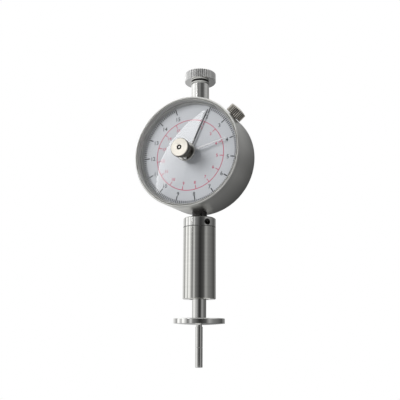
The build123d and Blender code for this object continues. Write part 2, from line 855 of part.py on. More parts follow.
# Reset knob: disc with a recess round the shaft's end, on a narrower hub
reset_hub_y = lens_top_y - lens_bush_height - body_gap
with BuildPart() as reset_knob:
    with BuildSketch(Plane.XY):
        with BuildLine():
            Polyline(
                (reset_shaft_radius + seat_gap, reset_hub_y),
                (reset_hub_radius, reset_hub_y),
                (reset_hub_radius, reset_face_y + reset_disc),
                (reset_radius - edge_break, reset_face_y + reset_disc),
                (reset_radius, reset_face_y + reset_disc - edge_break),
                (reset_radius, reset_face_y + edge_break),
                (reset_radius - edge_break, reset_face_y),
                (reset_recess_radius, reset_face_y),
                (reset_recess_radius, reset_face_y + reset_recess),
                (reset_shaft_radius + seat_gap, reset_face_y + reset_recess),
                close=True,
            )
        make_face()
    revolve(axis=Axis.Y)
    with BuildSketch(Plane.XZ.offset(-reset_face_y)):
        with PolarLocations(reset_radius, reset_flutes):
            Rectangle(reset_flute_side, reset_flute_side, rotation=45)
    extrude(amount=-reset_disc, mode=Mode.SUBTRACT)
    grub_y = reset_hub_y - grub_rise
    grub_out = (sin(radians(grub_angle)), 0, cos(radians(grub_angle)))
    grub_plane = Plane(origin=(0, grub_y, 0), x_dir=(0, 1, 0), z_dir=grub_out)
    with BuildSketch(grub_plane):
        Circle(grub_radius + seat_gap)
    extrude(amount=reset_radius, mode=Mode.SUBTRACT)
reset_knob.part.label = "reset_knob"
export_step(reset_knob.part, "parts/reset_knob.step")

# Reset grub screw: holds the knob on the shaft
with BuildPart() as reset_grub_screw:
    with BuildSketch(grub_plane.offset(reset_shaft_radius + seat_gap)):
        Circle(grub_radius)
    extrude(amount=reset_hub_radius + grub_stand - reset_shaft_radius - seat_gap)
    fillet(reset_grub_screw.edges().sort_by_distance((0, grub_y, 0))[-1], grub_round)
reset_grub_screw.part.label = "reset_grub_screw"
export_step(reset_grub_screw.part, "parts/reset_grub_screw.step")

# Plunger rod: thick in the barrel, thinner through the stem, with a flat for the rack
with BuildPart() as plunger_rod:
    with BuildSketch(Plane.XZ):
        with BuildLine():
            Polyline(
                (indenter_shank_radius + seat_gap, disc_bottom_z),
                (rod_spigot_radius, disc_bottom_z),
                (rod_spigot_radius, disc_top_z),
                (rod_radius, disc_top_z),
                (rod_radius, rod_shoulder_z),
                (rod_upper_radius, rod_shoulder_z),
                (rod_upper_radius, rod_top_z),
                (0, rod_top_z),
                (0, disc_bottom_z + indenter_shank_length),
                (indenter_shank_radius + seat_gap, disc_bottom_z + indenter_shank_length),
                close=True,
            )
        make_face()
    revolve(axis=Axis.Z)
    with BuildSketch(Plane.XY.offset(rack_bottom_z)):
        with Locations((rack_root_x - rod_upper_radius / 2, 0)):
            Rectangle(rod_upper_radius, 2 * rod_upper_radius)
    extrude(amount=rack_lap, mode=Mode.SUBTRACT)
    with BuildSketch(Plane.YZ.offset(rack_root_x)):
        with Locations((0, (rack_bottom_z + rod_top_z) / 2)):
            with GridLocations(0, rack_screw_pitch, 1, 2):
                Circle(rack_screw_radius + seat_gap)
    extrude(amount=rod_upper_radius, mode=Mode.SUBTRACT)
plunger_rod.part.label = "plunger_rod"
export_step(plunger_rod.part, "parts/plunger_rod.step")

# Rack: toothed bar screwed on the rod's flat, with a round guide rod above it
rack_tooth_half = tooth_pitch / 4 - flank_play / 2
rack_slope = tan(radians(pressure_angle))
with BuildPart() as rack:
    with BuildSketch(Plane.XZ.offset(-rack_width / 2)):
        with BuildLine():
            Polyline(
                (rack_root_x, rack_bottom_z),
                (rack_back_x, rack_bottom_z),
                (rack_back_x, block_top_z),
                (guide_rod_radius, block_top_z),
                (guide_rod_radius, block_top_z - guide_block),
                (rack_root_x, block_top_z - guide_block),
                close=True,
            )
        make_face()
        with Locations((rack_root_x, rack_teeth_top_z - (rack_teeth_count - 1) * tooth_pitch / 2)):
            with GridLocations(0, tooth_pitch, 1, rack_teeth_count):
                Polygon(
                    (0, -rack_tooth_half - dedendum * rack_slope),
                    (dedendum + addendum, -rack_tooth_half + addendum * rack_slope),
                    (dedendum + addendum, rack_tooth_half - addendum * rack_slope),
                    (0, rack_tooth_half + dedendum * rack_slope),
                    align=None,
                )
    extrude(amount=rack_width)
    with BuildSketch(Plane.XY.offset(block_top_z)):
        Circle(guide_rod_radius)
    extrude(amount=guide_rod_length)
    with BuildSketch(Plane.YZ.offset(rack_back_x)):
        with Locations((0, (rack_bottom_z + rod_top_z) / 2)):
            with GridLocations(0, rack_screw_pitch, 1, 2):
                Circle(rack_screw_radius + seat_gap)
    extrude(amount=rack_back, mode=Mode.SUBTRACT)
rack.part.label = "rack"
export_step(rack.part, "parts/rack.step")

# Rack screws: pan heads on the rack's back
for index, side in enumerate((-1, 1)):
    height = (rack_bottom_z + rod_top_z) / 2 + side * rack_screw_pitch / 2
    with BuildPart() as rack_screw:
        with BuildSketch(Plane.YZ.offset(rack_back_x)):
            with Locations((0, height)):
                Circle(rack_screw_head)
        extrude(amount=-rack_screw_radius)
        with BuildSketch(Plane.YZ.offset(rack_back_x)):
            with Locations((0, height)):
                Circle(rack_screw_radius)
        extrude(amount=rack_back + rod_upper_radius - seat_gap)
    rack_screw.part.label = f"rack_screw_{index + 1}"
    export_step(rack_screw.part, f"parts/rack_screw_{index + 1}.step")

# Spring seat: collar on the rod that lifts the spring
with BuildPart() as spring_seat:
    with BuildSketch(Plane.XY.offset(seat_bottom_z)):
        Circle(spring_seat_radius)
        Circle(rod_radius + seat_gap, mode=Mode.SUBTRACT)
    extrude(amount=spring_seat_height)
spring_seat.part.label = "spring_seat"
export_step(spring_seat.part, "parts/spring_seat.step")

# Main spring: one wire along a helix, built from pairs of tangent arcs
helix_low = spring_bottom_z + wire_radius
helix_rise = spring_top_z - wire_radius - helix_low
helix_slope = helix_rise / (2 * pi * spring_turns)


def helix_point(angle):
    return Vector(spring_radius * cos(angle), spring_radius * sin(angle), helix_low + helix_slope * angle)


def helix_tangent(angle):
    return Vector(-spring_radius * sin(angle), spring_radius * cos(angle), helix_slope).normalized()


with BuildPart() as main_spring:
    with BuildLine() as coil:
        for half in range(2 * spring_turns):
            start = helix_point(half * pi)
            end = helix_point((half + 1) * pi)
            leave = helix_tangent(half * pi)
            arrive = helix_tangent((half + 1) * pi)
            span = end - start
            both = leave + arrive
            spread = 2 * (1 - leave.dot(arrive))
            reach = (-span.dot(both) + sqrt(span.dot(both) ** 2 + spread * span.dot(span))) / spread
            first = start + leave * reach
            second = end - arrive * reach
            middle = (first + second) * 0.5
            TangentArc(start, middle, tangent=leave)
            TangentArc(middle, end, tangent=second - first)
    with BuildSketch(Plane(origin=helix_point(0), z_dir=helix_tangent(0))):
        Circle(wire_radius)
    sweep()
main_spring.part.label = "main_spring"
export_step(main_spring.part, "parts/main_spring.step")

# Least gap between neighbouring turns, measured on points of the helix
wire_points = [helix_point(2 * pi * step / 36) for step in range(36 * spring_turns + 1)]
wire_gaps = []
for number, point in enumerate(wire_points):
    for other in wire_points[number + 18:]:
        wire_gaps.append((point - other).length - 2 * wire_radius)
print("least gap between turns of the spring", round(min(wire_gaps), 3))
print("stroke", round(stroke, 4), "tip", round(tip_z, 3), "top", round(cap_top_z, 3))

# Splash disc: round plate with a domed underside and softened edges that stops juice
disc_bore = rod_spigot_radius + seat_gap
disc_half = (disc_bore + disc_radius) / 2
disc_half_rise = disc_dome * (disc_half**2 - disc_bore**2) / (disc_radius**2 - disc_bore**2)
with BuildPart() as splash_disc:
    with BuildSketch(Plane.XZ):
        with BuildLine():
            ThreePointArc(
                (disc_bore, disc_bottom_z),
                (disc_half, disc_bottom_z + disc_half_rise),
                (disc_radius, disc_bottom_z + disc_dome),
            )
            Polyline(
                (disc_radius, disc_bottom_z + disc_dome),
                (disc_radius, disc_top_z),
                (disc_bore, disc_top_z),
                (disc_bore, disc_bottom_z),
            )
        make_face()
    revolve(axis=Axis.Z)
    fillet(splash_disc.edges().filter_by(GeomType.CIRCLE).sort_by(SortBy.RADIUS)[-2:], disc_round)
splash_disc.part.label = "splash_disc"
export_step(splash_disc.part, "parts/splash_disc.step")

# Indenter: flat-ended pin with a relief neck, a screwed shank and the depth mark
with BuildPart() as indenter:
    with BuildSketch(Plane.XZ):
        with BuildLine():
            Polyline(
                (0, tip_z),
                (indenter_radius - tip_break, tip_z),
                (indenter_radius, tip_z + tip_break),
                (indenter_radius, mark_z - mark_width / 2),
                (indenter_radius - mark_depth, mark_z),
                (indenter_radius, mark_z + mark_width / 2),
                (indenter_radius, disc_bottom_z - indenter_neck),
                (indenter_neck_radius, disc_bottom_z - indenter_neck),
                (indenter_neck_radius, disc_bottom_z),
                (indenter_shank_radius, disc_bottom_z),
                (indenter_shank_radius, disc_bottom_z + indenter_shank_length - seat_gap),
                (0, disc_bottom_z + indenter_shank_length - seat_gap),
                close=True,
            )
        make_face()
    revolve(axis=Axis.Z)
indenter.part.label = "indenter"
export_step(indenter.part, "parts/indenter.step")

# Clamp shoe: brass plug between the clamp screw and the bezel's groove
with BuildPart() as clamp_shoe:
    with BuildSketch(clamp_plane.offset(shoe_inner_r)):
        Circle(clamp_shank_radius)
    extrude(amount=shoe_length)
clamp_shoe.part.label = "clamp_shoe"
export_step(clamp_shoe.part, "parts/clamp_shoe.step")

# Clamp screw: knurled thumb head with a domed end, on a short shank
clamp_half_drop = dome_drop(clamp_head_radius, clamp_dome, clamp_head_radius / 2)
with BuildPart() as clamp_screw:
    with BuildSketch(clamp_plane.offset(clamp_head_r)):
        Circle(clamp_head_radius)
        with PolarLocations(clamp_head_radius, clamp_flutes):
            Rectangle(clamp_flute_side, clamp_flute_side, rotation=45, mode=Mode.SUBTRACT)
    extrude(amount=clamp_band + clamp_dome)
    with BuildSketch(clamp_side):
        with BuildLine():
            Polyline(
                (0, clamp_top_r),
                (0, clamp_head_r),
                (clamp_head_radius - clamp_chamfer, clamp_head_r),
                (clamp_head_radius, clamp_head_r + clamp_chamfer),
                (clamp_head_radius, clamp_band_r),
            )
            ThreePointArc(
                (clamp_head_radius, clamp_band_r),
                (clamp_head_radius / 2, clamp_top_r - clamp_half_drop),
                (0, clamp_top_r),
            )
        make_face()
    revolve(axis=Axis(clamp_plane.origin, clamp_out), mode=Mode.INTERSECT)
    with BuildSketch(clamp_plane.offset(shoe_outer_r + seat_gap)):
        Circle(clamp_shank_radius)
    extrude(amount=clamp_head_r - shoe_outer_r - seat_gap)
clamp_screw.part.label = "clamp_screw"
export_step(clamp_screw.part, "parts/clamp_screw.step")
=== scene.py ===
# %% [markdown]
# # A dial fruit hardness tester
# The tool is pressed into a fruit until the depth mark on its pin is reached.
# A spring inside the barrel gives way, a rack turns a small pinion, and the
# pinion turns the pointer. The solids come from CAD, so this lesson only adds
# what CAD doesn't give: finishes, print on the dial, a few finer meshes, light
# and a camera.

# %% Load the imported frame
import json
from math import cos, pi, radians, sin, sqrt

import bmesh
import bpy
from mathutils import Matrix, Vector


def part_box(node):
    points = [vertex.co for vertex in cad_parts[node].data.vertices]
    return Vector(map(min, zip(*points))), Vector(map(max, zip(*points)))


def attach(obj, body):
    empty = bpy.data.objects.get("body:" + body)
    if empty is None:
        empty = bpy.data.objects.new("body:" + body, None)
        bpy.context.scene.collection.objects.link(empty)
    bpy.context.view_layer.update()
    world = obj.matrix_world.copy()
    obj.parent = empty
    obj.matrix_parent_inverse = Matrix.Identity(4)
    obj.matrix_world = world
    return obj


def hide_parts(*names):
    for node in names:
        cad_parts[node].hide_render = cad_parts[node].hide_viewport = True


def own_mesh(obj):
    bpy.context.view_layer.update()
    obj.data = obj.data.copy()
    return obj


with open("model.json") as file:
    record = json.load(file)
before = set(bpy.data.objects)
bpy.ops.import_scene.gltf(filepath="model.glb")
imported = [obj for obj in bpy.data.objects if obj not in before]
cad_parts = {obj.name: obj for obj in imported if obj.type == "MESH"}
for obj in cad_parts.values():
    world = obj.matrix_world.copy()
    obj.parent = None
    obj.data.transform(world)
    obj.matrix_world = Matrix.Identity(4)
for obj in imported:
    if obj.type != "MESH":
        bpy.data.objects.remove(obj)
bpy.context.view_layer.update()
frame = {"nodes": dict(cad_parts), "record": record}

MM = 0.001

# %% [markdown]
# ## Helpers for finishes
# Every finish is a material with one Principled shader. A helper makes the
# bare material and returns what is needed to wire it. The alternative is to
# copy one material and change it, but then each finish hides what it differs in.
# Another helper adds a node and fills its inputs: a socket is joined, and a
# plain value is set. A node's settings come before that, because they decide
# which inputs it has.


# %% Helpers: a bare finish and a filled node
def bare_finish(name):
    finish = bpy.data.materials.new(name)
    finish.use_nodes = True
    tree = finish.node_tree
    tree.nodes.clear()
    output = tree.nodes.new("ShaderNodeOutputMaterial")
    surface = tree.nodes.new("ShaderNodeBsdfPrincipled")
    tree.links.new(surface.outputs["BSDF"], output.inputs["Surface"])
    return finish, tree, surface


def fill(tree, node, inputs):
    for key, value in inputs.items():
        socket = node.inputs[key]
        if isinstance(value, bpy.types.NodeSocket):
            tree.links.new(value, socket)
        elif socket.type == "RGBA":
            socket.default_value = (*value, 1)
        else:
            socket.default_value = value


def put(tree, kind, inputs=None, **settings):
    node = tree.nodes.new(kind)
    for key, value in settings.items():
        setattr(node, key, value)
    fill(tree, node, inputs or {})
    return node


print("finish helpers ready")


# %% Helpers: sums, ranges and mixes
def compute(tree, operation, *values):
    node = put(tree, "ShaderNodeMath", dict(enumerate(values)), operation=operation)
    return node.outputs["Value"]


def compute_vector(tree, operation, *values, output="Value"):
    node = put(tree, "ShaderNodeVectorMath", dict(enumerate(values)), operation=operation)
    return node.outputs[output]


def rescale(tree, value, source, target=(0, 1)):
    ends = {"From Min": source[0], "From Max": source[1], "To Min": target[0], "To Max": target[1]}
    return put(tree, "ShaderNodeMapRange", {"Value": value, **ends}).outputs["Result"]


def mix(tree, factor, first, second, kind="RGBA"):
    inputs = {"Factor": factor, "A": first, "B": second}
    return put(tree, "ShaderNodeMix", inputs, data_type=kind).outputs["Result"]


print("node helpers ready")


# %% Helpers: a node group with named sockets
def new_group(name, inputs, outputs):
    group = bpy.data.node_groups.new(name, "ShaderNodeTree")
    for label, kind, value in inputs:
        socket = group.interface.new_socket(label, in_out="INPUT", socket_type=kind)
        if value is not None:
            socket.default_value = value
    for label, kind in outputs:
        group.interface.new_socket(label, in_out="OUTPUT", socket_type=kind)
    entry = group.nodes.new("NodeGroupInput")
    leave = group.nodes.new("NodeGroupOutput")
    return group, entry.outputs, leave


def use_group(tree, group, **inputs):
    labelled = {name.replace("_", " "): value for name, value in inputs.items()}
    return put(tree, "ShaderNodeGroup", labelled, node_tree=group)


FLOAT = "NodeSocketFloat"
VECTOR = "NodeSocketVector"
print("group helpers ready")

# %% [markdown]
# ## Turned lines
# A lathe tool leaves fine rings on round metal. They spread reflections along
# the axis and keep them sharp across it, which is why the barrel shows upright
# streaks. A picture of scratches would do it too, but one-dimensional noise
# along the axis is exact, has no seam and needs no unwrapping.

# %% Group: turned lines
tone_rate = 0.12
turned_lines, given, leave = new_group(
    "Turned Lines",
    [("Along", FLOAT, 0.0), ("Lines per mm", FLOAT, 8.0)],
    [("Height", FLOAT), ("Tone", FLOAT)],
)
scaled = compute(turned_lines, "MULTIPLY", given["Along"], given["Lines per mm"])
slow = compute(turned_lines, "MULTIPLY", scaled, tone_rate)
line_noise = {"W": scaled, "Scale": 1.0, "Detail": 3.0}
fine = put(turned_lines, "ShaderNodeTexNoise", line_noise, noise_dimensions="1D")
broad = put(turned_lines, "ShaderNodeTexNoise", {"W": slow, "Scale": 1.0}, noise_dimensions="1D")
fill(turned_lines, leave, {"Height": fine.outputs["Fac"], "Tone": broad.outputs["Fac"]})
print("group", turned_lines.name)

# %% [markdown]
# ## Handling marks
# A tool that is held in the hand gets faint smears and specks of dust. They
# could be painted on as a picture, but noise in the object's own space needs no
# unwrapping. Two layers at different sizes give two masks: one for smears, which
# make the metal duller in patches, and one for specks.

# %% Group: handling marks
specks_per_metre = 4000.0
handling_marks, given, leave = new_group(
    "Handling Marks",
    [("Size mm", FLOAT, 6.0)],
    [("Smear", FLOAT), ("Speck", FLOAT)],
)
place = put(handling_marks, "ShaderNodeTexCoord").outputs["Object"]
per_metre = compute(handling_marks, "DIVIDE", 1 / MM, given["Size mm"])
smear_noise = {"Vector": place, "Scale": per_metre, "Detail": 4.0, "Roughness": 0.6}
smear = put(handling_marks, "ShaderNodeTexNoise", smear_noise)
speck = put(handling_marks, "ShaderNodeTexNoise", {"Vector": place, "Scale": specks_per_metre})
fill(handling_marks, leave, {"Smear": smear.outputs["Fac"], "Speck": speck.outputs["Fac"]})
print("group", handling_marks.name)

# %% [markdown]
# ## Worn edges
# Machined edges are broken with a file and polished by use, so they catch the
# light as thin bright lines. Painted edges would have to be painted again after
# every change of shape. The Bevel node looks round the corner instead: where its
# normal leans away from the surface's own, there is an edge.

# %% Group: worn edges
edge_lean = (0.995, 0.85)
worn_edges, given, leave = new_group(
    "Worn Edges",
    [("Width mm", FLOAT, 0.2)],
    [("Wear", FLOAT), ("Normal", VECTOR)],
)
width = compute(worn_edges, "MULTIPLY", given["Width mm"], MM)
rounded = put(worn_edges, "ShaderNodeBevel", {"Radius": width}, samples=6).outputs["Normal"]
own = put(worn_edges, "ShaderNodeNewGeometry").outputs["Normal"]
lean = compute_vector(worn_edges, "DOT_PRODUCT", rounded, own)
fill(worn_edges, leave, {"Wear": rescale(worn_edges, lean, edge_lean), "Normal": rounded})
print("group", worn_edges.name)

# %% [markdown]
# ## Painted shade in corners
# Knurls, seams, grooves and the gaps between parts are darkened in the colour:
# this is painted shade, where less light reaches. The Ambient Occlusion node
# measures how closed-in a point is, so the shade finds its places by itself and needs no drawn mask.

# %% Group: painted shade in corners
open_share = (0.85, 0.30)
corner_shade, given, leave = new_group(
    "Painted Shade in Corners",
    [("Reach mm", FLOAT, 0.6)],
    [("Painted Shade", FLOAT)],
)
reach = compute(corner_shade, "MULTIPLY", given["Reach mm"], MM)
closed = put(corner_shade, "ShaderNodeAmbientOcclusion", {"Distance": reach}, samples=8)
fill(corner_shade, leave, {"Painted Shade": rescale(corner_shade, closed.outputs["AO"], open_share)})
print("group", corner_shade.name)

# %% [markdown]
# ## Painted shade in a knurl
# The valleys of a knurl are darkened in the colour as painted shade. Ambient occlusion finds
# them too, but it is grainy on such small forms. The distance from the knob's
# axis tells a valley from a ridge exactly, as long as only the wall counts and
# not the flat ends. The shade is full at the floor radius, so a floor below the real
# valley leaves that valley only partly shaded.

# %% Group: knurl valleys
wall_lean = (0.5, 0.2)
knurl_valleys, given, leave = new_group(
    "Knurl Valleys",
    [
        ("Centre", VECTOR, None),
        ("Axis", VECTOR, None),
        ("Floor mm", FLOAT, 1.0),
        ("Ridge mm", FLOAT, 2.0),
    ],
    [("Painted Shade", FLOAT)],
)
place = put(knurl_valleys, "ShaderNodeTexCoord").outputs["Object"]
away = compute_vector(knurl_valleys, "SUBTRACT", place, given["Centre"], output="Vector")
aside = compute_vector(knurl_valleys, "CROSS_PRODUCT", away, given["Axis"], output="Vector")
radius_mm = compute(knurl_valleys, "DIVIDE", compute_vector(knurl_valleys, "LENGTH", aside), MM)
deep = rescale(knurl_valleys, radius_mm, (given["Ridge mm"], given["Floor mm"]))
own = put(knurl_valleys, "ShaderNodeNewGeometry").outputs["True Normal"]
lean = compute(knurl_valleys, "ABSOLUTE", compute_vector(knurl_valleys, "DOT_PRODUCT", own, given["Axis"]))
wall = rescale(knurl_valleys, lean, wall_lean)
fill(knurl_valleys, leave, {"Painted Shade": compute(knurl_valleys, "MULTIPLY", deep, wall)})
print("group", knurl_valleys.name)

# %% [markdown]
# ## Metal finishes
# Nearly all of the tool is turned metal, so one recipe with different values
# makes them all: a colour that drifts a little, rings from the lathe, smears
# that change the roughness, and brighter edges. The rings run along an axis of
# the tool or, on a turned face, outward from its middle.


# %% Helpers: place on the lathe and facing
def lathe_place(tree, about):
    place = put(tree, "ShaderNodeTexCoord").outputs["Object"]
    split = put(tree, "ShaderNodeSeparateXYZ", {"Vector": place}).outputs
    if about == "face":
        flat = put(tree, "ShaderNodeCombineXYZ", {"X": split["X"], "Z": split["Z"]})
        distance = compute_vector(tree, "LENGTH", flat.outputs["Vector"])
    else:
        distance = split[about]
    return compute(tree, "MULTIPLY", distance, 1 / MM)


def faces_towards(tree, direction):
    normal = put(tree, "ShaderNodeNewGeometry").outputs["True Normal"]
    return compute_vector(tree, "DOT_PRODUCT", normal, direction)


print("lathe helpers ready")

# %% Recipe: turned metal
drift_share = 0.88
front_lean = (0.5, 0.9)
front_sheen_share = 1.05
# colour of the painted shade in corners and knurl valleys
shade_colour = (0.012, 0.011, 0.010)
metal_smear_mm = 7.0
smear_span = (0.35, 0.7)
line_height = 0.02 * MM


def turned_metal(
    name, colour, worn, rough, lines=6.0, depth=0.2, about="Z", edge=0.06, reach=0.25,
    shaded_sides=None, fade=None, knurl=None, under=None
):
    finish, tree, surface = bare_finish(name)
    along = lathe_place(tree, about)
    rings = use_group(tree, turned_lines, Along=along, Lines_per_mm=lines)
    marks = use_group(tree, handling_marks, Size_mm=metal_smear_mm)
    edges = use_group(tree, worn_edges, Width_mm=edge)
    if knurl:
        painted_shade = use_group(tree, knurl_valleys, **knurl)
    else:
        painted_shade = use_group(tree, corner_shade, Reach_mm=reach)

    base = mix(tree, rings.outputs["Tone"], [share * drift_share for share in colour], colour)
    if shaded_sides or fade:
        front = rescale(tree, faces_towards(tree, (0, -1, 0)), front_lean)
    # painted sheen and shade: a wall is brighter near the rim and darker towards the back, and front faces
    # are a little brighter
    if fade:
        share = mix(tree, front, rescale(tree, along, *fade), front_sheen_share, "FLOAT")
        sheen_scale = put(tree, "ShaderNodeVectorMath", {0: base, "Scale": share}, operation="SCALE")
        base = sheen_scale.outputs["Vector"]
    # painted shade: every face that doesn't look to the front takes the dark side colour
    if shaded_sides:
        base = mix(tree, front, shaded_sides, base)
    base = mix(tree, edges.outputs["Wear"], base, worn)
    # painted shade: closed-in corners and knurl valleys darken towards the shade colour
    base = mix(tree, painted_shade.outputs["Painted Shade"], base, shade_colour)

    smooth = rescale(tree, marks.outputs["Smear"], smear_span, rough)
    if under:
        smooth = mix(tree, faces_towards(tree, (0, 0, -1)), smooth, under, "FLOAT")
    bump = put(tree, "ShaderNodeBump", {"Strength": depth, "Distance": line_height})
    fill(tree, bump, {"Height": rings.outputs["Height"], "Normal": edges.outputs["Normal"]})
    fill(tree, surface, {"Metallic": 1.0, "Base Color": base})
    fill(tree, surface, {"Roughness": smooth, "Normal": bump.outputs["Normal"]})
    return finish


print("turned metal recipe ready")

# %% [markdown]
# ## Line of the clamp screw
# A thumb screw stands in the case's wall at the upper right and points at the
# dial's axis. Its finish and its knob both need that line, so it is worked out
# once, from the angle that it makes with the upright.

# %% Line of the clamp screw
clamp_turn = radians(49.2)
clamp_out = Vector((sin(clamp_turn), 0, cos(clamp_turn)))
clamp_centre = Vector((0, -8.0, 0)) * MM
print("clamp screw points along", [round(v, 3) for v in clamp_out])

# %% [markdown]
# ## Finishes of the outside
# The satin case, polished neck and collar, brushed barrel, nickel knobs and
# blackened stem differ only in the recipe's values. The case's wall has a painted
# sheen near the rim and painted shade towards the back: its fade has a stretch in
# millimetres and the share of the colour at each end. The bezel is a darker copy
# of the case's satin, as painted shade on the wall deep under the lens. The cap's
# underside is faced smooth, and the reset knob's sides and hub are painted dark
# round its pale face, as painted shade under that face.

# %% Finishes of the outside
# painted sheen near the case's rim and painted shade towards its back
wall_sheen_and_shade = ((-12.0, 3.0), (1.35, 0.62))
cap_knurl = dict(Centre=(0, 0, 0), Axis=(0, 0, 1), Floor_mm=7.64, Ridge_mm=7.92)
clamp_knurl = dict(Centre=clamp_centre, Axis=clamp_out, Floor_mm=4.0, Ridge_mm=4.3)
outside = {
    "case_satin": dict(
        colour=(0.56, 0.56, 0.54), worn=(0.85, 0.85, 0.82), rough=(0.30, 0.38),
        about="Y", edge=0.2, reach=0.1, fade=wall_sheen_and_shade),
    # a darker copy of the case's satin: painted shade on the bezel's wall under the lens
    "bezel_satin": dict(
        colour=(0.50, 0.50, 0.48), worn=(0.85, 0.85, 0.82), rough=(0.30, 0.38),
        about="Y", edge=0.05, reach=0.004),
    "cover_plate": dict(
        colour=(0.86, 0.86, 0.84), worn=(0.92, 0.92, 0.90), rough=(0.29, 0.38),
        about="face", lines=5.0, depth=0.15),
    "polished": dict(
        colour=(0.80, 0.80, 0.78), worn=(0.90, 0.90, 0.88), rough=(0.05, 0.10), depth=0.03, edge=0.04),
    "barrel_steel": dict(
        colour=(0.74, 0.74, 0.71), worn=(0.88, 0.88, 0.86), rough=(0.06, 0.10), depth=0.1, reach=0.8),
    "collar_polish": dict(
        colour=(0.80, 0.80, 0.78), worn=(0.90, 0.90, 0.88), rough=(0.05, 0.09),
        depth=0.03, edge=0.04, reach=2.4),
    "pin_polish": dict(
        colour=(0.76, 0.76, 0.74), worn=(0.88, 0.88, 0.86), rough=(0.03, 0.05), depth=0.02, edge=0.01),
    "shaft_satin": dict(
        colour=(0.62, 0.60, 0.56), worn=(0.74, 0.72, 0.68), rough=(0.34, 0.42),
        about="face", edge=0.03, reach=1.0),
    "cap_nickel": dict(
        colour=(0.95, 0.95, 0.94), worn=(0.97, 0.97, 0.96), rough=(0.32, 0.40),
        edge=0.02, knurl=cap_knurl, under=0.04),
    "clamp_dark": dict(
        colour=(0.77, 0.735, 0.67), worn=(0.88, 0.85, 0.78), rough=(0.285, 0.34),
        about="Y", edge=0.02, knurl=clamp_knurl),
    "stem_black": dict(
        colour=(0.065, 0.062, 0.06), worn=(0.10, 0.095, 0.09), rough=(0.05, 0.09),
        depth=0.05, edge=0.03, reach=0.3),
    # the reset knob's sides and hub are painted dark: painted shade under its pale face
    "reset_nickel": dict(
        colour=(0.68, 0.65, 0.585), worn=(0.77, 0.74, 0.67), rough=(0.285, 0.35),
        about="face", depth=0.3, edge=0.04, reach=1.5, shaded_sides=(0.15, 0.14, 0.12)),
}
finishes = {name: turned_metal(name, **look) for name, look in outside.items()}
print("finishes outside", sorted(finishes))

# %% [markdown]
# ## Finishes of pointers and movement
# One pointer is painted black and one is plated, and both show through the lens.
# The movement is brass and steel, and the spring is dark wire. These are hidden
# in the case and the barrel, but they have finishes of their own.

# %% Finishes of pointers and movement
inside = {
    "pointer_black": dict(
        colour=(0.03, 0.03, 0.035), worn=(0.12, 0.12, 0.13), rough=(0.38, 0.5), edge=0.05, reach=0.1),
    "pointer_silver": dict(
        colour=(0.93, 0.93, 0.95), worn=(0.96, 0.96, 0.97), rough=(0.42, 0.52), edge=0.05, reach=0.1),
    "movement_brass": dict(
        colour=(0.76, 0.58, 0.28), worn=(0.90, 0.76, 0.46), rough=(0.20, 0.32), about="Y", edge=0.1),
    "movement_steel": dict(
        colour=(0.45, 0.45, 0.43), worn=(0.70, 0.70, 0.68), rough=(0.24, 0.34), edge=0.1),
    "spring_steel": dict(
        colour=(0.30, 0.30, 0.32), worn=(0.55, 0.55, 0.57), rough=(0.24, 0.34), lines=4.0, edge=0.1),
}
for name, look in inside.items():
    finishes[name] = turned_metal(name, **look)
print("finishes", len(finishes))

# %% [markdown]
# ## Rubber, paint and ink
# A moulded black ring sits under the cap, and its black is partly painted shade for the gap there;
# the dial is a thin plate sprayed with a pale blue grey, and its scale is screened on in black and red. None
# of these
# is quite even, and all have a fine grain, so one recipe serves: large noise
# moves the colour, and small noise moves the roughness and the bump.


# %% Recipe: patchy finish
def patchy_finish(name, deep, pale, patch_mm, rough, grain, grain_mm=0.01, specular=0.5):
    finish, tree, surface = bare_finish(name)
    marks = use_group(tree, handling_marks, Size_mm=patch_mm).outputs
    raised = {"Strength": grain, "Distance": grain_mm * MM, "Height": marks["Speck"]}
    bump = put(tree, "ShaderNodeBump", raised)
    fill(tree, surface, {"Base Color": mix(tree, marks["Smear"], deep, pale)})
    fill(tree, surface, {"Roughness": rescale(tree, marks["Speck"], (0, 1), rough)})
    fill(tree, surface, {"Normal": bump.outputs["Normal"], "Specular IOR Level": specular})
    return finish


# the seal's black is partly painted shade in the gap under the cap
finishes["seal_black"] = patchy_finish(
    "seal_black", (0.008, 0.008, 0.008), (0.03, 0.03, 0.03), patch_mm=2.0, rough=(0.55, 0.75), grain=0.3)
finishes["dial_print"] = patchy_finish(
    "dial_print", (0.380, 0.393, 0.415), (0.410, 0.424, 0.446), patch_mm=14.0, rough=(0.42, 0.62), grain=0.2)
ink_look = dict(patch_mm=1.2, rough=(0.4, 0.6), grain=0.15, grain_mm=0.005, specular=0.15)
black_ink = patchy_finish("black_ink", (0.004, 0.005, 0.008), (0.010, 0.011, 0.015), **ink_look)
red_ink = patchy_finish("red_ink", (0.36, 0.022, 0.075), (0.44, 0.05, 0.11), **ink_look)
print("finishes seal_black dial_print", black_ink.name, red_ink.name)

# %% [markdown]
# ## Clear lens
# The lens is moulded clear plastic with a faint haze from wiping. Glass in a
# path tracer blocks straight shadow rays, which would leave the dial in the
# dark, so shadow and diffuse rays pass through a transparent shader.

# %% Finish: clear lens
haze_span = (0.4, 0.8)
haze_rough = (0.0, 0.008)
finish, tree, surface = bare_finish("lens_clear")
marks = use_group(tree, handling_marks, Size_mm=9.0)
haze = rescale(tree, marks.outputs["Smear"], haze_span, haze_rough)
fill(tree, surface, {"Base Color": (1, 1, 1), "Transmission Weight": 1.0, "IOR": 1.49, "Roughness": haze})
clear = put(tree, "ShaderNodeBsdfTransparent")
path = put(tree, "ShaderNodeLightPath").outputs
passing = compute(tree, "MAXIMUM", path["Is Shadow Ray"], path["Is Diffuse Ray"])
shaders = {"Fac": passing, 1: surface.outputs["BSDF"], 2: clear.outputs["BSDF"]}
blend = put(tree, "ShaderNodeMixShader", shaders)
output = next(node for node in tree.nodes if node.type == "OUTPUT_MATERIAL")
fill(tree, output, {"Surface": blend.outputs["Shader"]})
finishes["lens_clear"] = finish
print("finish", finish.name)

